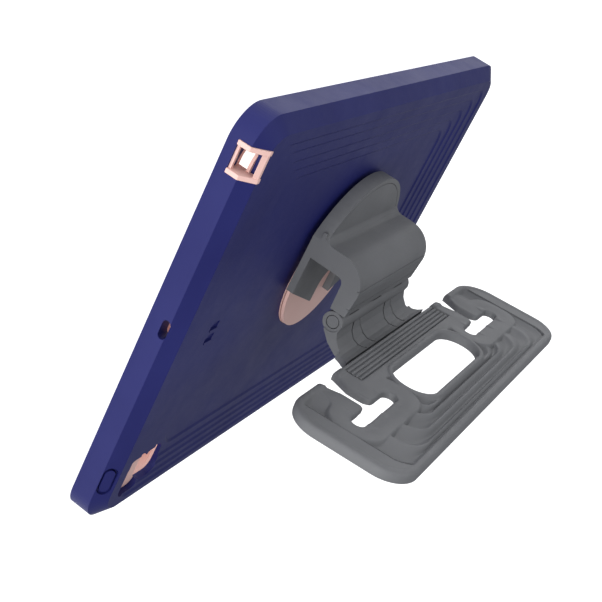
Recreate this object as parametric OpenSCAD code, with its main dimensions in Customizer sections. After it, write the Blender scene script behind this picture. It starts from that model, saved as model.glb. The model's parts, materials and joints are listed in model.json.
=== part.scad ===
// Rugged tablet case with a swivelling finger hook and a folding kickstand plate.
// The case lies screen side down: X along the long side, Y up the short side, Z out of the back.

/* [Case] */
// Width of the case, along its long side
case_w = 270; // [266:1:276]
// Height of the case, along its short side
case_h = 204; // [202:1:212]
// Corner radius of the case, seen from the back
corner_r = 14.5; // [12:0.5:18]
// Height of the straight side wall
wall_h = 10.3; // [10:0.1:11]
// Height of the crest that rings the back
crest_z = 15.3; // [14.8:0.1:16]
// Distance from the side wall to the top of the bevel
bevel_in = 6.5; // [5:0.5:8]
// Distance of the swivel's axis from the middle of the case, along X
swivel_x = 6; // [0:0.5:6]

/* [Tablet] */
// Long side of the tablet
tablet_w = 250.6; // [245:0.1:252]
// Short side of the tablet
tablet_h = 174.1; // [170:0.1:176]
// Clearance round the tablet
tablet_gap = 0.5; // [0.3:0.1:0.8]

/* [Swivel] */
// Radius of the turntable disc in the middle of the back
disc_r = 34.2; // [30:0.1:34.2]
// Radius of the spigot that turns in the shell
spigot_r = 20; // [18:0.5:22]
// Radial running clearance of the spigot and of the hinge pin
run_gap = 0.05; // [0.02:0.01:0.1]

/* [Hook] */
// Width of the hook and its base
hook_w = 83; // [80:1:86]
// Thickness of the hook's cover skin
skin_t = 1.3; // [1:0.1:1.6]

/* [Stand] */
// Width of the stand plate
stand_w = 228; // [200:1:232]
// Width of the window in the stand plate
window_w = 79; // [70:1:84]
// Radius of the hinge barrel
barrel_r = 5.2; // [5:0.1:5.3]
// Radius of the hinge pin
pin_r = 1.6; // [1.4:0.1:1.8]

/* [Hidden] */
$fn = 64;
eps = 0.01;

// heights in the case, from the front face
frame_t = 1.6;
pocket_z = 9.3;
shell_z = 10.6;
panel_z = 11.9;
pad_t = 0.5;
// outlines of the inner shell and the front frame
pocket_w = tablet_w + 2 * tablet_gap;
pocket_h = tablet_h + 2 * tablet_gap;
pocket_r = 8;
shell_wall = 2.2;
shell_w = pocket_w + 2 * shell_wall;
shell_h = pocket_h + 2 * shell_wall;
shell_r = pocket_r + shell_wall;
frame_w = case_w - 9;
frame_h = case_h - 9;
screen_w = 241;
screen_h = 165.5;
// edges of the steps of the back, measured in from each side
step_ends_in = [14, 22, 29, 36, 43];
step_top_in = [12, 17, 23, 28.5, 34];
step_low_in = [10, 13.5, 17.5, 21.5, 27];
step_h = (crest_z - panel_z) / len(step_ends_in);
step_slope = 1.3;
step_r = 10;
bevel_angle = atan2(crest_z - wall_h, bevel_in);
side_x = case_w / 2;
side_y = case_h / 2;
shell_x = shell_w / 2;

// jack opening, high on the left side
jack_y = 82.8;
jack_h = 14.2;
jack_bar = 2;
jack_z = 4.6;
jack_top_x = 8;
// microphone opening, halfway up the left side
mic_y = 4.4;
mic_z = 8.6;
mic_len = 9;
mic_r = 1.9;
// vent slots cut through the inner steps
vents = [[[-101, -12.5], [-91, -8.2]], [[-101, -5.8], [-91, -1.5]]];
// camera opening in the lower left corner, with a ledge on its outer side
cam_hole = [[-122, -90], [-105.5, -69]];
cam_lens = [[-107.5, -88], [-91.5, -71]];
cam_r = 5;
// charging port and speakers on the right side
port_w = 14;
port_h = 6.4;
port_z = 5.6;
speaker_y = 35;
speaker_w = 20;
speaker_h = 3;

// buttons on the bevel: [centre along the side, length]
power_y = -76;
volume_x = [-92, -73];
key_len = 12;
key_w = 4.6;
key_h = 2.5;
key_sink = 0.2;
key_low = 0.5;
key_gap = 0.35;
key_travel = 0.8;
dish_len = 15.3;
dish_w = 6.6;
dish_depth = 1.3;
key_well = 4.2;
dome_r = 1.6;
dome_h = 0.4;

// swivel
disc_z = [12.8, 14.4];
boss_z = 12.3;
boss_r = disc_r + 0.2;
ring_r = 25;
ring_z = [9.4, 10.25];
washer_t = 0.2;
screw_r = 1.25;
screw_pitch_r = 17;
screw_angles = [0, 60, 120, 180];
screw_top = 17.5;

// hook and its base
base_z = disc_z[1];
base_top = 21.6;
base_arc_y = 10.4;
base_arc_r = 45.9;
leg_y = -1;
leg_in = 11;
leg_low_y = -14.7;
leg_top = 18;
notch_half = 10;
notch_y = 4;
panel_in = 2.4;
hook_x = hook_w / 2;
hook_y = 30;
hook_round = 14;
hook_front = 46.6;
hook_end = 4;
tunnel_y = 19.6;
tunnel_z = 37;
tunnel_round = 3.2;
cove = 4;
seam_y = 18.8;
trim_y = 8.4;
seam_gap = 0.3;

// hinge of the stand
hinge_y = -1.5;
hinge_z = 41.5;
lug_r = 4;
lug_w = 10;
lug_x = [-27, 0, 27];
lug_gap = 0.4;
barrel_x = 41;
pin_x = 39.6;
bush_r = 3.2;
bush_x = [32.5, 38.8];
cap_r = 3;
cap_x = [39.6, 40.8];

// stand plate; it leans towards the hook, about a line across its middle at [y, z]
plate_lean = 4.8;
lean_at = [-6.2, 92];
plate_top = -6.5;
plate_low = -11.4;
core_top = -10;
near_z = 58.6;
far_z = 118.6;
near_round = 17;
far_round = 15;
stand_x = stand_w / 2;
neck_half = 41.5;
neck_flare = 54;
ear_top = -7;
ear_x = [42, 101.5];
ear_z = [71, 98.5];
rim_w = 4;
// terraces round the window: [half width, far edge, height of the tread]
terrace = [[109.5, 116, -8.2], [88.5, 111.5, -8.7], [74, 107.5, -9.1], [59.5, 103.3, -9.4], [46, 101.5, -9.7]];
terrace_r = 11;
window_z = [75, 98];
collar_w = 2.8;
window_r = 11;
slot_x = 71.7;
slot_bar = 40.5;
slot_bar_z = [80.8, 88];
slot_neck = 7.5;
slot_mouth = 16;
slot_flare_z = 69;
slot_round = 5;
rib_half = 57;
rib_z = [58.8, 70];
ribs = 5;
rib_base = -8.3;
rib_top = -6.6;
dimple_x = 19;
dimple_len = 12;

blue = [0.16, 0.19, 0.46];
pink = [0.94, 0.78, 0.75];
grey = [0.43, 0.44, 0.46];
dark = [0.30, 0.31, 0.33];
steel = [0.70, 0.71, 0.73];

// ---- shared shapes ----

// rounded rectangle about the origin
module rounded(w, h, r) {
    square([w - 2 * r, h], center = true);
    square([w, h - 2 * r], center = true);
    for (x = [-1, 1], y = [-1, 1]) translate([x * (w / 2 - r), y * (h / 2 - r)]) circle(r);
}

// rounded rectangle between two corners
module rounded_between(box, r) {
    translate((box[0] + box[1]) / 2) rounded(box[1][0] - box[0][0], box[1][1] - box[0][1], r);
}

// stadium along Y
module stadium(len, r) {
    square([2 * r, len - 2 * r], center = true);
    for (y = [-1, 1]) translate([0, y * (len / 2 - r)]) circle(r);
}

module slab(w, h, r, z0, z1) {
    translate([0, 0, z0]) linear_extrude(z1 - z0) rounded(w, h, r);
}

// an outline in Y and Z, carried along X
module along_x(half) {
    translate([-half, 0, 0]) rotate([90, 0, 90]) linear_extrude(2 * half) children();
}

// an outline in X and Z, carried from y_high down to y_low
module along_y(y_high, y_low) {
    translate([0, y_high, 0]) rotate([90, 0, 0]) linear_extrude(y_high - y_low) children();
}

module rod_x(r, x0, x1) {
    translate([x0, 0, 0]) rotate([0, 90, 0]) cylinder(r = r, h = x1 - x0);
}

module at_hinge() {
    translate([0, hinge_y, hinge_z]) children();
}

module mirrored() {
    children();
    mirror([1, 0, 0]) children();
}

// a place on the bevel of the left side, with Z along its outward normal and X up the slope
module on_left_bevel(y) {
    translate([-side_x + bevel_in / 2, y, (wall_h + crest_z) / 2])
        rotate([0, -bevel_angle, 0]) translate([-key_low, 0, 0]) children();
}

// the same on the bevel of the lower side
module on_low_bevel(x) {
    translate([x, -side_y + bevel_in / 2, (wall_h + crest_z) / 2])
        rotate([bevel_angle, 0, 0]) rotate([0, 0, 90]) translate([-key_low, 0, 0]) children();
}

module at_swivel() {
    translate([swivel_x, 0, 0]) children();
}

module each_key_place() {
    on_left_bevel(power_y) children();
    for (x = volume_x) on_low_bevel(x) children();
}

module key() {
    translate([0, 0, -key_sink - key_h]) linear_extrude(key_h) stadium(key_len, key_w / 2);
}

module key_opening() {
    translate([0, 0, -dish_depth]) linear_extrude(dish_depth + 3) stadium(dish_len, dish_w / 2);
    translate([0, 0, -key_well]) linear_extrude(key_well)
        stadium(key_len + 2 * key_gap, key_w / 2 + key_gap);
}

// ---- case ----

module side_openings() {
    // microphone
    translate([0, mic_y, mic_z]) rotate([0, -90, 0])
        translate([0, 0, pocket_w / 2 - 2]) linear_extrude(30) stadium(mic_len, mic_r);
    // charging port and speakers
    translate([pocket_w / 2 - 2, 0, port_z]) rotate([0, 90, 0]) linear_extrude(30) {
        stadium(port_w, port_h / 2);
        for (y = [-1, 1]) translate([0, y * speaker_y]) stadium(speaker_w, speaker_h / 2);
    }
}

// outline of one step of the back, drawn in by d
module step_outline(i, d) {
    rounded_between([
        [-side_x + step_ends_in[i] + d, -side_y + step_low_in[i] + d],
        [side_x - step_ends_in[i] - d, side_y - step_top_in[i] - d]
    ], step_r - d);
}

// room above one step, with a sloped riser round it
module step_cut(i) {
    low = crest_z - step_h * (i + 1);
    hull() {
        translate([0, 0, low]) linear_extrude(eps) step_outline(i, step_slope / 2);
        translate([0, 0, low + step_h]) linear_extrude(6) step_outline(i, -step_slope / 2);
    }
}

module outer_cover() {
    color(blue) difference() {
        hull() {
            slab(case_w, case_h, corner_r, 0, wall_h);
            slab(case_w - 2 * bevel_in, case_h - 2 * bevel_in, corner_r - 4, crest_z - 0.1, crest_z);
        }
        slab(frame_w + 0.2, frame_h + 0.2, corner_r - 4.4, -1, frame_t);
        slab(shell_w, shell_h, shell_r, -1, shell_z);
        for (i = [0:len(step_ends_in) - 1]) step_cut(i);
        at_swivel() cylinder(r = disc_r + 0.4, h = 40);
        side_openings();
        // jack opening, from the side wall over the bevel
        translate([-side_x - 1, jack_y - jack_h / 2, jack_z])
            cube([side_x - shell_x + 9, jack_h, 5.9]);
        translate([-side_x - 1, jack_y - jack_h / 2, jack_z + 4])
            cube([jack_top_x + 1.6, jack_h, 20]);
        // camera opening
        translate([0, 0, shell_z - 1]) linear_extrude(20) {
            rounded_between(cam_hole, cam_r);
            rounded_between(cam_lens, cam_r);
        }
        // vents through the inner steps
        translate([0, 0, panel_z - 0.6]) linear_extrude(20) for (v = vents) rounded_between(v, 1.5);
        each_key_place() key_opening();
    }
}

module inner_shell() {
    color(pink) difference() {
        union() {
            slab(shell_w, shell_h, shell_r, frame_t, shell_z);
            at_swivel() translate([0, 0, pocket_z]) cylinder(r = boss_r, h = boss_z - pocket_z);
        }
        slab(pocket_w, pocket_h, pocket_r, -1, pocket_z);
        at_swivel() {
            translate([0, 0, pocket_z - 1]) cylinder(r = ring_r + 0.5, h = shell_z - pocket_z + 1);
            cylinder(r = spigot_r + run_gap, h = 40);
        }
        translate([0, 0, pocket_z - 1]) lining_outline(1 + pad_t);
        side_openings();
        translate([-shell_x - 1, jack_y - jack_h / 2 + jack_bar, jack_z])
            cube([16, jack_h - 2 * jack_bar, pocket_z - jack_z]);
        linear_extrude(30) rounded_between(cam_lens, cam_r);
    }
}

module front_frame() {
    color(blue) difference() {
        slab(frame_w, frame_h, corner_r - 4.5, 0, frame_t);
        slab(screen_w, screen_h, 5, -1, frame_t + 1);
    }
}

module lining_outline(h) {
    linear_extrude(h) for (x = [-1, 1]) translate([x * 76, 0]) rounded(64, 118, 8);
}

module lining_pads() {
    color(dark) translate([0, 0, pocket_z]) lining_outline(pad_t);
}

// outline of the jack bars in X and Z, a little proud of the cover
module jack_profile() {
    polygon([
        [-shell_x, jack_z], [-side_x - 0.4, jack_z], [-side_x - 0.4, wall_h + 0.1],
        [-side_x + bevel_in - 0.2, crest_z + 0.4], [-side_x + jack_top_x + 0.3, crest_z + 0.4],
        [-side_x + jack_top_x + 0.3, shell_z], [-shell_x, shell_z]
    ]);
}

module jack_surround() {
    opening = jack_h - 0.2;
    color(pink) {
        for (y = [jack_y + opening / 2, jack_y - opening / 2 + jack_bar])
            along_y(y, y - jack_bar) jack_profile();
        // lower and upper posts
        along_y(jack_y + opening / 2 - jack_bar, jack_y - opening / 2 + jack_bar) {
            polygon([
                [-side_x + 3, jack_z], [-side_x + 0.8, jack_z], [-side_x + 0.8, jack_z + 1.3],
                [-side_x + 3, jack_z + 1]
            ]);
            polygon([
                [-side_x + 4.6, crest_z - 1.7], [-side_x + jack_top_x + 0.3, crest_z - 1.7],
                [-side_x + jack_top_x + 0.3, crest_z], [-side_x + 6.6, crest_z]
            ]);
        }
    }
}

module camera_surround() {
    color(pink) translate([0, 0, shell_z]) linear_extrude(1.4) difference() {
        rounded_between([cam_hole[0] + [0.1, 0.1], cam_hole[1] - [0.1, 0.1]], cam_r - 0.1);
        rounded_between(cam_lens, cam_r);
    }
}

module power_button() {
    color(blue) on_left_bevel(power_y) key();
}

module volume_up_button() {
    color(blue) on_low_bevel(volume_x[0]) key();
}

module volume_down_button() {
    color(blue) on_low_bevel(volume_x[1]) key();
}

module button_domes() {
    color(pink) each_key_place() translate([0, 0, -key_well]) cylinder(r = dome_r, h = dome_h);
}

// ---- swivel ----

module friction_washer() {
    color(dark) at_swivel() translate([0, 0, boss_z]) difference() {
        cylinder(r = disc_r - 1, h = washer_t);
        translate([0, 0, -1]) cylinder(r = spigot_r + 4, h = 3);
    }
}

module each_screw() {
    for (a = screw_angles) rotate(a) translate([screw_pitch_r, 0, 0]) children();
}

module turntable_disc() {
    color(pink) at_swivel() difference() {
        union() {
            translate([0, 0, disc_z[0]]) cylinder(r = disc_r, h = disc_z[1] - disc_z[0]);
            translate([0, 0, ring_z[1]]) cylinder(r = spigot_r, h = disc_z[0] - ring_z[1] + eps);
        }
        each_screw() cylinder(r = screw_r, h = 40);
    }
}

module retaining_ring() {
    color(steel) at_swivel() translate([0, 0, ring_z[0]]) difference() {
        cylinder(r = ring_r, h = ring_z[1] - ring_z[0]);
        translate([0, 0, -1]) cylinder(r = 12, h = 5);
        each_screw() translate([0, 0, -1]) cylinder(r = screw_r, h = 5);
        each_screw() translate([0, 0, -1]) cylinder(r = 2.4, h = 1.5);
    }
}

module swivel_screws() {
    color(steel) at_swivel() each_screw() {
        translate([0, 0, ring_z[0]]) cylinder(r = screw_r, h = screw_top - ring_z[0]);
        translate([0, 0, ring_z[0] + 0.02]) cylinder(r = 2.3, h = 0.48);
    }
}

// outline of the hook's base, drawn in by d
module base_outline(d) {
    intersection() {
        translate([0, base_arc_y]) circle(base_arc_r - d, $fn = 128);
        translate([-hook_x + d, -40]) square([hook_w - 2 * d, 120]);
        polygon([
            [-hook_x, leg_y + d], [-leg_in, leg_low_y + d], [leg_in, leg_low_y + d],
            [hook_x, leg_y + d], [hook_x, 80], [-hook_x, 80]
        ]);
    }
}

// round-ended notch between the two legs of the base
module base_notch() {
    translate([-notch_half, -40]) square([2 * notch_half, 40 + notch_y - notch_half]);
    translate([0, notch_y - notch_half]) circle(notch_half);
}

// outer side of the hook in Y and Z, drawn in by d, from the base round to the free end
function hook_outer(d) = concat(
    [for (a = [0:15:90]) [hook_y + cove - (cove + d) * sin(a), base_top - d + (cove + d) * (1 - cos(a))]],
    [for (a = [0:6:90]) [hook_y - hook_round + (hook_round - d) * cos(a),
                         hook_front - hook_round + (hook_round - d) * sin(a)]],
    [[hook_end, hook_front - 1 - d]]
);

// inner side of the hook, from the free end back to the base
hook_inner = concat(
    [[hook_end, tunnel_z + 0.5]],
    [for (a = [90:-15:0]) [tunnel_y - tunnel_round + tunnel_round * cos(a),
                           tunnel_z - tunnel_round + tunnel_round * sin(a)]],
    [[tunnel_y, base_top - 3], [hook_y + cove, base_top - 3]]
);

module hook_section(d) {
    polygon(concat(hook_outer(d), hook_inner));
}

module skin_section() {
    difference() {
        hook_section(0);
        hook_section(skin_t);
        translate([0, 0]) square([80, base_top - skin_t]);
    }
}

module swivel_base() {
    color(grey) at_swivel() difference() {
        union() {
            translate([0, 0, base_z]) difference() {
                linear_extrude(base_top - base_z) base_outline(0);
                translate([-60, -60, leg_top - base_z]) cube([120, 60 + tunnel_y, 10]);
                translate([-60, tunnel_y + 1, base_top - skin_t - base_z])
                    cube([120, hook_y + cove - tunnel_y - 1, 10]);
            }
            along_x(hook_x) hook_section(skin_t);
            // lugs that carry the hinge pin
            for (x = lug_x) at_hinge() {
                rod_x(lug_r, x - lug_w / 2, x + lug_w / 2);
                translate([x - lug_w / 2, 0, -3.4])
                    cube([lug_w, hook_end - hinge_y + 0.5, 6]);
            }
        }
        translate([0, 0, base_z - 1]) linear_extrude(6) base_notch();
        // seat of the cover's flat panel
        translate([0, 0, base_top - skin_t]) linear_extrude(skin_t + 1) difference() {
            base_outline(panel_in);
            translate([-60, -60]) square([120, 60 + tunnel_y + 1]);
        }
        at_hinge() rod_x(pin_r, -60, 60);
        each_screw() cylinder(r = screw_r, h = screw_top);
    }
}

module hook_cover() {
    color(grey) at_swivel() {
        intersection() {
            along_x(hook_x) intersection() {
                skin_section();
                translate([seam_y, base_top - skin_t]) square([60, 80]);
            }
            linear_extrude(80) base_outline(0);
        }
        translate([0, 0, base_top - skin_t]) linear_extrude(skin_t) difference() {
            base_outline(panel_in + 0.3);
            translate([-60, -60]) square([120, 60 + hook_y + cove - eps]);
        }
    }
}

module hook_lower_cover() {
    color(grey) at_swivel() along_x(hook_x) intersection() {
        skin_section();
        translate([trim_y, 30]) square([seam_y - seam_gap - trim_y, 30]);
    }
}

module hook_trim() {
    color(grey) at_swivel() along_x(hook_x) intersection() {
        skin_section();
        translate([hook_end - 1, 30]) square([trim_y - seam_gap - hook_end + 1, 30]);
    }
}

// ---- hinge ----

module hinge_pin() {
    color(steel) at_swivel() at_hinge() rod_x(pin_r, -pin_x, pin_x);
}

module pin_caps() {
    color(dark) at_swivel() at_hinge() mirrored() rod_x(cap_r, cap_x[0], cap_x[1]);
}

module hinge_bushes() {
    color(dark) at_swivel() at_hinge() mirrored() difference() {
        rod_x(bush_r, bush_x[0], bush_x[1]);
        rod_x(pin_r + run_gap, bush_x[0] - 1, bush_x[1] + 1);
    }
}

// ---- stand ----

module plate_outline() {
    for (x = [-1, 1]) {
        translate([x * (stand_x - near_round), near_z + near_round]) circle(near_round);
        translate([x * (stand_x - far_round), far_z - far_round]) circle(far_round);
    }
    translate([-stand_x + near_round, near_z]) square([2 * (stand_x - near_round), 30]);
    translate([-stand_x, near_z + near_round])
        square([2 * stand_x, far_z - far_round - near_z - near_round]);
    translate([-stand_x + far_round, far_z - 30]) square([2 * (stand_x - far_round), 30]);
}

// corner filler that rounds an inside corner at the origin
module corner_cove(r) {
    difference() {
        square(r);
        translate([r, r]) circle(r);
    }
}

// slot that takes a strap or a head-rest post, open to the near edge
module post_slot(d) {
    low = slot_bar_z[0] - d;
    translate([slot_x, (slot_bar_z[0] + slot_bar_z[1]) / 2]) rotate(90)
        stadium(slot_bar + 2 * d, (slot_bar_z[1] - slot_bar_z[0]) / 2 + d);
    translate([slot_x - slot_neck / 2 - d, near_z - 5])
        square([slot_neck + 2 * d, slot_bar_z[0] - near_z + 8]);
    polygon([
        [slot_x - slot_mouth / 2 - d, near_z - 5], [slot_x + slot_mouth / 2 + d, near_z - 5],
        [slot_x + slot_mouth / 2 + d, near_z + 1], [slot_x + slot_neck / 2 + d, slot_flare_z],
        [slot_x - slot_neck / 2 - d, slot_flare_z], [slot_x - slot_mouth / 2 - d, near_z + 1]
    ]);
    for (s = [-1, 1]) translate([slot_x + s * (slot_neck / 2 + d), low]) mirror([s < 0 ? 1 : 0, 0])
        mirror([0, 1]) corner_cove(slot_round);
}

module window_outline(d) {
    translate([0, (window_z[0] + window_z[1]) / 2])
        rounded(window_w - 2 * d, window_z[1] - window_z[0] - 2 * d, window_r - d);
}

module plate_holes(d) {
    mirrored() post_slot(d);
    window_outline(-d);
}

// the ear that surrounds each slot
module ear_outline() {
    translate([(ear_x[0] + ear_x[1]) / 2, (ear_z[0] + ear_z[1]) / 2])
        rounded(ear_x[1] - ear_x[0], ear_z[1] - ear_z[0], 11);
    translate([rib_half + 0.6, near_z + 0.4]) square([33, 26]);
}

module terrace_outline(t) {
    translate([-t[0], near_z - 20]) square([2 * t[0], t[1] - near_z + 20 - terrace_r]);
    translate([-t[0] + terrace_r, near_z - 20]) square([2 * (t[0] - terrace_r), t[1] - near_z + 20]);
    for (x = [-1, 1]) translate([x * (t[0] - terrace_r), t[1] - terrace_r]) circle(terrace_r);
}

module leaning() {
    translate([0, lean_at[0], lean_at[1]]) rotate([-plate_lean, 0, 0])
        translate([0, -lean_at[0], -lean_at[1]]) children();
}

// neck between the barrel and the plate, in Y and Z
module neck_section() {
    polygon([
        [hinge_y, hinge_z + barrel_r], [-4.6, 46.0], [-8, 47.4], [-11, 50.2], [-12.1, 53.4],
        [-11.6, 56.2], [-10.6, 58.3], [-12.9, 58.3], [-12.9, 62.5], [-13.7, 62.3], [-15.2, 56],
        [-15.2, 50], [-11.6, 44], [-6.6, 39.2], [hinge_y, hinge_z]
    ]);
}

// outline of the neck from above, in X and Z
module neck_outline() {
    difference() {
        translate([-neck_flare, hinge_z - 8]) square([2 * neck_flare, 30]);
        for (x = [-1, 1]) translate([x * (neck_flare + 1.5), 48.5]) circle(12);
        for (x = [-1, 1]) translate([x * (neck_flare + 0.5), hinge_z - 1]) square([26, 22], center = true);
    }
}

module barrel() {
    difference() {
        at_hinge() rod_x(barrel_r, -barrel_x, barrel_x);
        at_hinge() rod_x(pin_r + run_gap, -60, 60);
        at_hinge() mirrored() {
            rod_x(bush_r, bush_x[0], 60);
            rod_x(cap_r + 0.4, cap_x[0] - 0.4, 60);
        }
    }
}

// room for the lugs, from straight above the pin round to the inner side
module lug_slots() {
    reach = lug_r + lug_gap;
    for (x = lug_x) at_hinge() {
        rod_x(reach, x - lug_w / 2 - lug_gap, x + lug_w / 2 + lug_gap);
        translate([x - lug_w / 2 - lug_gap, -reach, -12]) cube([lug_w + 2 * lug_gap, reach + 12, 12]);
        translate([x - lug_w / 2 - lug_gap, 0, -12]) cube([lug_w + 2 * lug_gap, 12, 12 + 3.6]);
    }
}

// spring fingers of the detent, as U-shaped grooves
module detent_grooves() {
    for (x = [-1, 1]) translate([x * dimple_x, 0, 0]) along_y(0, -12.7) difference() {
        union() {
            translate([0, 54]) square([dimple_len, 8], center = true);
            translate([0, 50]) circle(dimple_len / 2);
        }
        translate([0, 54.5]) square([dimple_len - 2, 9], center = true);
        translate([0, 50]) circle(dimple_len / 2 - 1);
    }
}

module stand_core() {
    color(grey) at_swivel() difference() {
        union() {
            barrel();
            difference() {
                intersection() {
                    along_x(60) neck_section();
                    along_y(10, -30) neck_outline();
                }
                at_hinge() rod_x(barrel_r - 0.4, -60, 60);
                detent_grooves();
            }
            leaning() along_y(core_top, plate_low) difference() {
                plate_outline();
                plate_holes(0);
            }
        }
        lug_slots();
    }
}

module stand_skin() {
    color(grey) at_swivel() leaning() difference() {
        along_y(plate_top, core_top) difference() {
            plate_outline();
            plate_holes(0);
            translate([0, (rib_z[0] + rib_z[1]) / 2 - 3])
                square([2 * rib_half, rib_z[1] - rib_z[0] + 6.6], center = true);
        }
        for (t = terrace) along_y(plate_top + 1, t[2]) difference() {
            terrace_outline(t);
            window_outline(-collar_w);
            mirrored() ear_outline();
            translate([0, near_z]) square([2 * stand_x, 2 * rim_w], center = true);
        }
        along_y(plate_top + 1, ear_top) mirrored() ear_outline();
    }
}

module stand_ribs() {
    pitch = (rib_z[1] - rib_z[0]) / ribs;
    color(dark) at_swivel() leaning() {
        along_y(rib_base, core_top) translate([-rib_half + 0.2, rib_z[0]])
            square([2 * rib_half - 0.4, rib_z[1] - rib_z[0]]);
        for (i = [0:ribs - 1]) translate([0, rib_base, rib_z[0] + pitch * (i + 0.5)])
            difference() {
                rod_x(pitch * 0.42, -rib_half + 1, rib_half - 1);
                translate([-100, -10, -5]) cube([200, 10 - 0.4, 10]);
            }
    }
}

outer_cover();
inner_shell();
front_frame();
lining_pads();
jack_surround();
camera_surround();
power_button();
volume_up_button();
volume_down_button();
button_domes();
friction_washer();
turntable_disc();
retaining_ring();
swivel_screws();
swivel_base();
hook_cover();
hook_lower_cover();
hook_trim();
hinge_pin();
pin_caps();
hinge_bushes();
stand_core();
stand_skin();
stand_ribs();
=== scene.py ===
"""Looks of a rugged tablet case with a turntable finger hook and a folding stand plate."""

import json
import math

import bmesh
import bpy
import numpy as np
from mathutils import Matrix, Vector


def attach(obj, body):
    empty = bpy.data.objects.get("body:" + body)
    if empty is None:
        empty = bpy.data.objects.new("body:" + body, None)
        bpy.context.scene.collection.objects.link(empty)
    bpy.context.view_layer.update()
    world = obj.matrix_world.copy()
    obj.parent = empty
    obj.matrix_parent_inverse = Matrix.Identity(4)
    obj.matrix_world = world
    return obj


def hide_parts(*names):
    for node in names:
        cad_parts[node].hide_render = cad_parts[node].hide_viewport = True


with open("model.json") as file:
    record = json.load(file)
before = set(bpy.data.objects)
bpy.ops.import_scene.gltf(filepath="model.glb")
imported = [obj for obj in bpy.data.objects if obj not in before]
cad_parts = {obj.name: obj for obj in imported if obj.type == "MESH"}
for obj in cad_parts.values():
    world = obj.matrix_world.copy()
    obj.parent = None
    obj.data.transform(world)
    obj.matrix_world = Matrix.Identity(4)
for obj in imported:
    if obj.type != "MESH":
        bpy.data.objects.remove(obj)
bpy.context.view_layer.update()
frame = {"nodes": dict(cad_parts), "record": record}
NODES = frame["nodes"]
MM = 0.001

# ---------------------------------------------------------------- camera

CAM_RIGHT = Vector((0.45065762, 0.40838543, 0.79380668))
CAM_UP = Vector((0.24547286, 0.79825298, -0.55003204))
CAM_BACK = Vector((-0.85828362, 0.44273413, 0.25949125))
CAM_AT = Vector((-0.5073, 0.2418, 0.1661))
LENS = 70.44


def add_camera():
    data = bpy.data.cameras.new("camera")
    data.lens = LENS
    data.sensor_width = 36.0
    data.clip_start = 0.01
    data.clip_end = 60.0
    cam = bpy.data.objects.new("camera", data)
    bpy.context.scene.collection.objects.link(cam)
    basis = Matrix((CAM_RIGHT, CAM_UP, CAM_BACK)).transposed()
    cam.matrix_world = Matrix.Translation(CAM_AT) @ basis.to_4x4()
    bpy.context.scene.camera = cam


# ---------------------------------------------------------------- materials

CLOUD_SCALE, SCUFF_SCALE = 22.0, 60.0
GRAIN_DEPTH = 0.00012
SATIN = 0.35
# by slot: name, dark and light colour, range of roughness, grain scale and strength, specular level
FINISHES = {
    "cover": ("blue_cover", (0.012, 0.014, 0.105), (0.016, 0.019, 0.125), (0.45, 0.55), 2600.0, 0.2, 0.22),
    "liner": ("pink_liner", (0.80, 0.50, 0.44), (0.85, 0.56, 0.50), (0.45, 0.55), 2200.0, 0.2, SATIN),
    "grey": ("grey_plastic", (0.125, 0.128, 0.134), (0.15, 0.153, 0.16), (0.5, 0.62), 2400.0, 0.3, SATIN),
    "lining": ("soft_lining", (0.03, 0.03, 0.036), (0.05, 0.05, 0.056), (0.85, 0.95), 900.0, 0.8, SATIN),
    "nylon": ("nylon", (0.09, 0.09, 0.095), (0.12, 0.12, 0.125), (0.4, 0.55), 1800.0, 0.2, SATIN),
    "steel": ("steel", (0.52, 0.53, 0.55), (0.62, 0.63, 0.65), (0.22, 0.38), 1500.0, 0.15, SATIN),
}


def new_material(name):
    mat = bpy.data.materials.new(name)
    mat.use_nodes = True
    tree = mat.node_tree
    return mat, tree, tree.nodes["Principled BSDF"]


def noise(tree, scale, detail, rough=0.55):
    coord = tree.nodes.new("ShaderNodeTexCoord")
    node = tree.nodes.new("ShaderNodeTexNoise")
    node.inputs["Scale"].default_value = scale
    node.inputs["Detail"].default_value = detail
    node.inputs["Roughness"].default_value = rough
    tree.links.new(coord.outputs["Object"], node.inputs["Vector"])
    return node.outputs["Fac"]


def ramp(tree, fac, low, high):
    node = tree.nodes.new("ShaderNodeValToRGB")
    for stop, pos, value in zip(node.color_ramp.elements, (0.3, 0.7), (low, high)):
        stop.position = pos
        stop.color = (*value, 1.0) if isinstance(value, tuple) else (value, value, value, 1.0)
    tree.links.new(fac, node.inputs["Fac"])
    return node.outputs["Color"]


def moulded_plastic(name, dark, light, roughness, grain, bump, specular):
    """Satin moulded plastic: faint cloudy colour, fine grain, and scuffs in the gloss."""
    mat, tree, shader = new_material(name)
    link = tree.links.new
    link(ramp(tree, noise(tree, CLOUD_SCALE, 5.0), dark, light), shader.inputs["Base Color"])
    link(ramp(tree, noise(tree, SCUFF_SCALE, 8.0, 0.7), *roughness), shader.inputs["Roughness"])
    shader.inputs["Specular IOR Level"].default_value = specular
    fine = tree.nodes.new("ShaderNodeBump")
    fine.inputs["Strength"].default_value = bump
    fine.inputs["Distance"].default_value = GRAIN_DEPTH
    link(noise(tree, grain, 2.0), fine.inputs["Height"])
    link(fine.outputs["Normal"], shader.inputs["Normal"])
    return mat


def make_materials():
    mats = {slot: moulded_plastic(*finish) for slot, finish in FINISHES.items()}
    mats["steel"].node_tree.nodes["Principled BSDF"].inputs["Metallic"].default_value = 1.0
    return mats


# ---------------------------------------------------------------- CAD nodes

# radius of the rounded edges, in millimetres
ROUNDED = {
    "outer_cover": 0.45,
    "swivel_base": 0.5,
    "hook_cover": 0.25,
    "stand_core": 0.5,
    "jack_surround": 0.35,
    "camera_surround": 0.3,
}


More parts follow.
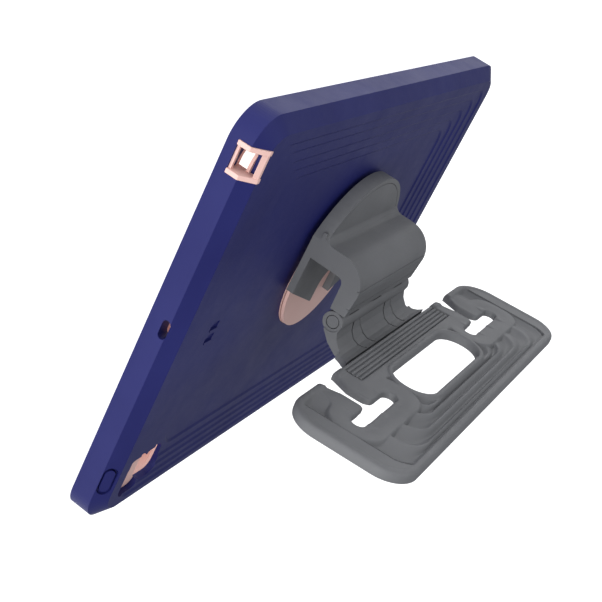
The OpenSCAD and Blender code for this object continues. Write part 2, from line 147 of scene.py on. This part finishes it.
def soften(obj, width):
    """Rounds the moulded edges of a CAD node."""
    weld = obj.modifiers.new("weld", "WELD")
    weld.merge_threshold = 1e-6
    flat = obj.modifiers.new("flat", "DECIMATE")
    flat.decimate_type = "DISSOLVE"
    flat.angle_limit = math.radians(0.8)
    bevel = obj.modifiers.new("round", "BEVEL")
    bevel.width = width
    bevel.segments = 3
    bevel.limit_method = "ANGLE"
    bevel.angle_limit = math.radians(28)
    bevel.harden_normals = True
    bevel.use_clamp_overlap = True


def dress(mats):
    slots = {s["node"]: s["material_slot"] for s in frame["record"]["subparts"]}
    for name, obj in NODES.items():
        obj.data.materials.clear()
        obj.data.materials.append(mats[slots[name]])


# ---------------------------------------------------------------- stand face
# In millimetres on the upright plate: u across from the swivel's axis, v away from the case, and the
# height of the face along Y. The plate then leans towards the hook.

CELL = 0.5
SWIVEL_X = 6.0
LEAN = math.radians(4.8)
LEAN_AT = (-6.2, 92.0)

RIM_Y, EAR_Y, POOL_Y, LOW_Y = -6.5, -7.0, -9.6, -10.6
# how far the face laps over the edge of each hole
HOLE_IN = 0.12
# boxes are (low corner, high corner) in u and v
PLATE = ((-114.1, 58.5), (114.1, 118.65))
PLATE_MID, NEAR_R, FAR_R = 88.0, 17.0, 15.0
WINDOW = ((-39.5, 75.0), (39.5, 98.0))
WINDOW_R = 11.0
RIBS = ((-57.2, 40.0), (57.2, 70.35))
RIBS_R = 0.3
SLOT_BAR = ((51.45, 80.8), (91.95, 88.0))
SLOT_BAR_R = 3.6
SLOT_U, SLOT_HALF, SLOT_END, SLOT_BLEND = 71.7, 3.75, 84.0, 2.4
FLARE, FLARE_V = 4.4, (70.0, 58.0)
EAR = ((42.0, 71.0), (101.5, 98.5))
LOBE = ((50.0, 58.9), (86.5, 84.0))
BRIDGE = ((-60.0, 60.0), (60.0, 76.5))
EAR_R, LOBE_R, BRIDGE_R, LOBE_BLEND = 11.0, 7.0, 2.0, 7.0
EAR_DISH, EAR_FALL = 0.9, 3.2
# ridges of the terraces: half width, far edge, height
RIDGES = (
    (49.0, 100.9, -7.8), (57.5, 103.4, -7.6), (71.5, 107.6, -7.4),
    (86.0, 111.8, -7.3), (101.0, 115.6, -7.2),
)
RIDGE_R = 11.0
SCOOP, END_SCOOP = 1.8, 2.7
RIM_W, RIM_SLOPE = 3.2, 3.4
COLLAR_FALL, COLLAR_W = 3.2, (2.0, 4.8)
PLATE_ROUND, WINDOW_ROUND, SLOT_ROUND, RIBS_ROUND = 1.9, 1.3, 0.8, 0.5


def smooth(low, high, value):
    t = np.clip((value - low) / (high - low), 0, 1)
    return t * t * (3 - 2 * t)


def soft_max(a, b, k):
    h = np.clip(0.5 + 0.5 * (a - b) / k, 0, 1)
    return b + (a - b) * h + k * h * (1 - h)


def soft_min(a, b, k):
    return -soft_max(-a, -b, k)


def box_field(u, v, box, r):
    """Signed distance to a rounded rectangle, negative inside; r may be an array."""
    low, high = box
    qu = np.abs(u - (low[0] + high[0]) / 2) - (high[0] - low[0]) / 2 + r
    qv = np.abs(v - (low[1] + high[1]) / 2) - (high[1] - low[1]) / 2 + r
    return np.hypot(np.maximum(qu, 0), np.maximum(qv, 0)) + np.minimum(np.maximum(qu, qv), 0) - r


def plate_field(u, v):
    return box_field(u, v, PLATE, np.where(v < PLATE_MID, NEAR_R, FAR_R))


def window_field(u, v):
    return box_field(u, v, WINDOW, WINDOW_R)


def ribs_field(u, v):
    return box_field(u, v, RIBS, RIBS_R)


def slot_field(u, v):
    """The T-shaped slot of each ear, with a flared mouth on the near edge."""
    a = np.abs(u)
    half = SLOT_HALF + FLARE * smooth(*FLARE_V, v)
    neck = np.maximum(np.abs(a - SLOT_U) - half, v - SLOT_END)
    return soft_min(box_field(a, v, SLOT_BAR, SLOT_BAR_R), neck, SLOT_BLEND)


def skin_field(u, v):
    """Outline of the stand's face with its holes, negative where there is plastic."""
    field = plate_field(u, v)
    for hole in (window_field(u, v), slot_field(u, v), ribs_field(u, v)):
        field = np.maximum(field, -(hole + HOLE_IN))
    return field


def ear_field(u, v):
    """The ears with their lobes to the near edge, and the bridge between ribs and window."""
    a = np.abs(u)
    ear = soft_min(box_field(a, v, EAR, EAR_R), box_field(a, v, LOBE, LOBE_R), LOBE_BLEND)
    return np.minimum(ear, box_field(a, v, BRIDGE, BRIDGE_R))


def terraces(a, v, rim_in):
    """Coved bands from the window out to the rim, each deepest just before the next ridge."""
    fields = [box_field(a, v, ((-w, 0), (w, far)), RIDGE_R) for w, far, _ in RIDGES]
    fields.append(soft_max(rim_in, fields[-1] - 1.5, 1.0))
    levels = [level for _, _, level in RIDGES] + [RIM_Y - 0.3]
    scoops = [SCOOP] * (len(RIDGES) - 1) + [END_SCOOP]
    pool = POOL_Y + 0.2
    top = pool + (levels[0] - pool) * smooth(-2.6, 0, fields[0])
    for k, scoop in enumerate(scoops):
        inner, outer = fields[k], fields[k + 1]
        share = np.clip(inner / np.maximum(inner - outer, 1e-6), 0, 1)
        band = levels[k] + (levels[k + 1] - levels[k]) * share - scoop * np.sin(np.pi * share**2)
        top = np.where((inner > 0) & (outer <= 0), band, top)
    return np.where(fields[-1] > 0, levels[-1], top)


def skin_top(u, v):
    """Height of the moulded face: terraces, rim, ears and window collar, with rounded edges."""
    plate, window, slot = plate_field(u, v), window_field(u, v), slot_field(u, v)
    rim_in, ear_d = plate + RIM_W, ear_field(u, v)
    foot = POOL_Y - 0.6
    rim = foot + (RIM_Y - foot) * smooth(-RIM_SLOPE, 0, rim_in)
    dish = EAR_DISH * smooth(0, -9, ear_d) * smooth(12, 0, slot)
    ear = EAR_Y - dish - EAR_FALL * smooth(-0.4, 1.7, ear_d)
    collar = RIM_Y - COLLAR_FALL * smooth(*COLLAR_W, window)
    top = soft_max(terraces(np.abs(u), v, rim_in), rim, 0.25)
    top = soft_max(top, ear, 0.18)
    top = np.minimum(soft_max(top, collar, 0.25), RIM_Y)
    edges = (
        (-plate, PLATE_ROUND), (window, WINDOW_ROUND), (slot, SLOT_ROUND), (ribs_field(u, v), RIBS_ROUND),
    )
    for edge, r in edges:
        fall = np.clip(r - edge, 0, r)
        top = top - (r - np.sqrt(r * r - fall * fall))
    return top


def grid_on_outline(us, vs, field):
    """Grid points, those near the field's zero line moved onto it, with the side each is on."""
    u, v = np.meshgrid(us, vs, indexing="ij")
    h = 0.02
    for reach in (0.52 * CELL, 0.05):
        f = field(u, v)
        gu = (field(u + h, v) - field(u - h, v)) / (2 * h)
        gv = (field(u, v + h) - field(u, v - h)) / (2 * h)
        grip = (np.abs(f) < reach) & (np.hypot(gu, gv) > 0.3)
        step = np.where(grip, f / np.maximum(gu * gu + gv * gv, 0.2), 0)
        u, v = u - step * gu, v - step * gv
    f = field(u, v)
    return u, v, np.where(np.abs(f) < 0.03, 0, np.sign(f)).astype(int)


def cells_inside(side):
    """The grid's cells inside the outline, and the halves of the cells that it cuts across."""
    index = np.arange(side.size).reshape(side.shape)
    corners = [index[:-1, :-1], index[1:, :-1], index[1:, 1:], index[:-1, 1:]]
    quads = np.stack(corners, -1).reshape(-1, 4)
    around = side.ravel()[quads]
    outside, inside = (around > 0).sum(1), (around < 0).sum(1)
    faces = quads[(outside == 0) & (inside > 0)].tolist()
    cut = (outside == 1) & (inside > 0)
    for quad, ring in zip(quads[cut], around[cut]):
        faces.append([int(i) for i, s in zip(quad, ring) if s <= 0])
    return faces


def relief(name, us, vs, field, top, low, place):
    """A closed solid under a height field: its outline follows the field's zero line."""
    u, v, side = grid_on_outline(us, vs, field)
    faces = cells_inside(side)
    edges = dict.fromkeys(pair for face in faces for pair in zip(face, face[1:] + face[:1]))
    border = [(i, j) for i, j in edges if (j, i) not in edges]
    used = sorted({i for face in faces for i in face})
    new = {old: k for k, old in enumerate(used)}
    uu, vv = u.ravel()[used], v.ravel()[used]
    count = len(used)
    points = np.concatenate([place(uu, vv, top(uu, vv)), place(uu, vv, np.full(count, low))])
    made = [[new[i] for i in face] for face in faces]
    made += [[new[i] + count for i in reversed(face)] for face in faces]
    made += [[new[j], new[i], new[i] + count, new[j] + count] for i, j in border]
    mesh = bpy.data.meshes.new(name)
    mesh.from_pydata((points * MM).tolist(), [], made)
    work = bmesh.new()
    work.from_mesh(mesh)
    bmesh.ops.recalc_face_normals(work, faces=work.faces)
    work.to_mesh(mesh)
    work.free()
    mesh.polygons.foreach_set("use_smooth", [True] * len(mesh.polygons))
    mesh.set_sharp_from_angle(angle=math.radians(50))
    obj = bpy.data.objects.new(name, mesh)
    bpy.context.scene.collection.objects.link(obj)
    return obj


def leaning(u, v, h):
    """A place on the stand, whose plate leans towards the hook."""
    y, z = h - LEAN_AT[0], v - LEAN_AT[1]
    turned = (y * math.cos(LEAN) + z * math.sin(LEAN), z * math.cos(LEAN) - y * math.sin(LEAN))
    return np.stack([u + SWIVEL_X, turned[0] + LEAN_AT[0], turned[1] + LEAN_AT[1]], -1)


def add_stand_face(mat):
    across, away = np.arange(-115, 115 + CELL, CELL), np.arange(57.5, 119.6, CELL)
    face = relief("stand_face", across, away, skin_field, skin_top, LOW_Y, leaning)
    face.data.materials.append(mat)
    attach(face, "stand")
    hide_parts("stand_skin")


# ---------------------------------------------------------------- stage

FLOOR_SIZE = 24.0
FLOOR_DROP = 0.0002


def add_stage():
    bpy.ops.mesh.primitive_plane_add(size=FLOOR_SIZE, location=(0, 0, -FLOOR_DROP))
    floor = bpy.context.object
    floor.name = "floor"
    mat, _, shader = new_material("floor")
    shader.inputs["Base Color"].default_value = (0.8, 0.8, 0.8, 1)
    shader.inputs["Roughness"].default_value = 0.8
    shader.inputs["Emission Color"].default_value = (1, 1, 1, 1)
    shader.inputs["Emission Strength"].default_value = 0.9
    floor.data.materials.append(mat)


def area_light(name, at, aim, size, power):
    data = bpy.data.lights.new(name, "AREA")
    data.shape = "RECTANGLE"
    data.size, data.size_y = size
    data.energy = power
    obj = bpy.data.objects.new(name, data)
    bpy.context.scene.collection.objects.link(obj)
    obj.location = at
    obj.rotation_euler = (Vector(aim) - Vector(at)).to_track_quat("-Z", "Y").to_euler()


def background(tree, color, strength):
    node = tree.nodes.new("ShaderNodeBackground")
    node.inputs["Color"].default_value = (*color, 1)
    node.inputs["Strength"].default_value = strength
    return node.outputs["Background"]


def add_world():
    """White where the camera sees it, and a softer, slightly cool fill for everything else."""
    world = bpy.data.worlds.new("world")
    bpy.context.scene.world = world
    world.use_nodes = True
    tree = world.node_tree
    tree.nodes.clear()
    surface = tree.nodes.new("ShaderNodeOutputWorld")
    path = tree.nodes.new("ShaderNodeLightPath")
    mix = tree.nodes.new("ShaderNodeMixShader")
    tree.links.new(path.outputs["Is Camera Ray"], mix.inputs["Fac"])
    tree.links.new(background(tree, (0.93, 0.95, 1.0), 0.45), mix.inputs[1])
    tree.links.new(background(tree, (1, 1, 1), 1.3), mix.inputs[2])
    tree.links.new(mix.outputs["Shader"], surface.inputs["Surface"])


def add_lights():
    bpy.context.scene.view_settings.view_transform = "Standard"
    area_light("key", (-2.0, 0.1, 0.45), (0, 0, 0.03), (1.4, 0.9), 22.0)
    area_light("top", (0.2, 1.4, 1.9), (0, 0, 0.0), (1.8, 1.8), 12.0)
    add_world()


add_camera()
add_stage()
add_lights()
materials = make_materials()
dress(materials)
add_stand_face(materials["grey"])
for node, width in ROUNDED.items():
    soften(NODES[node], width * MM)
